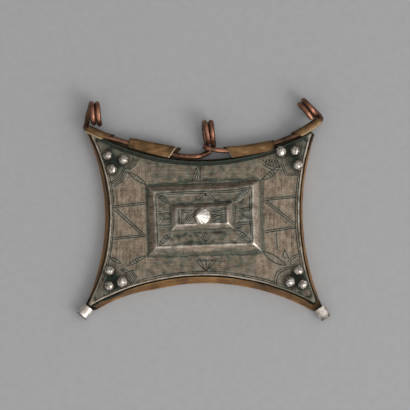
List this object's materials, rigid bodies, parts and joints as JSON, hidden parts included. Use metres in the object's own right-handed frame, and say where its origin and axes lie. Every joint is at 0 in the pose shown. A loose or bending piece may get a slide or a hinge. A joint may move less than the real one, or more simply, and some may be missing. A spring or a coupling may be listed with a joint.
{
  "type": "amulet case pendant",
  "caption": "Shallow metal amulet case with hollow-curved sides, a stepped engraved front, corner granules and a coiled wire with cord eyes.",
  "frame": {"origin": "middle of the back sheet's outer face, on which the case lies", "axes": "+X to the case's right side, +Y to its top edge with the cord eyes, +Z out of its engraved front"},
  "size_m": [0.084, 0.0747, 0.0114],
  "materials": {
    "patinated_silver": "engraved silver sheet, darkened in the recesses with a green bloom, worn bright on its edges",
    "bright_silver": "handled silver, slightly pitted",
    "copper_sheet": "brown-orange copper sheet, filed edges",
    "copper_wire": "reddish drawn copper wire, green-black where hands do not reach",
    "brass_sheet": "dull brown brass strip, bright along its cut edges",
    "charm_hide": "folded soft hide"
  },
  "bodies": {
    "root": {"back_plate": "copper_sheet", "front_pan": "patinated_silver", "centre_stud": "bright_silver", "suspension_wire": "copper_wire", "charm_packet": "charm_hide", "band_bottom": "copper_sheet", "band_right": "copper_sheet", "band_top": "copper_sheet", "band_left": "copper_sheet", "granule_topLeft_1": "bright_silver", "granule_topLeft_2": "bright_silver", "granule_topLeft_3": "bright_silver", "granule_topRight_1": "bright_silver", "granule_topRight_2": "bright_silver", "granule_topRight_3": "bright_silver", "granule_bottomRight_1": "bright_silver", "granule_bottomRight_2": "bright_silver", "granule_bottomRight_3": "bright_silver", "granule_bottomLeft_1": "bright_silver", "granule_bottomLeft_2": "bright_silver", "granule_bottomLeft_3": "bright_silver", "end_cap_left": "bright_silver", "long_sleeve_left": "brass_sheet", "corner_sleeve_left": "brass_sheet", "end_cap_right": "bright_silver", "long_sleeve_right": "brass_sheet", "corner_sleeve_right": "brass_sheet"}
  },
  "joints": []
}
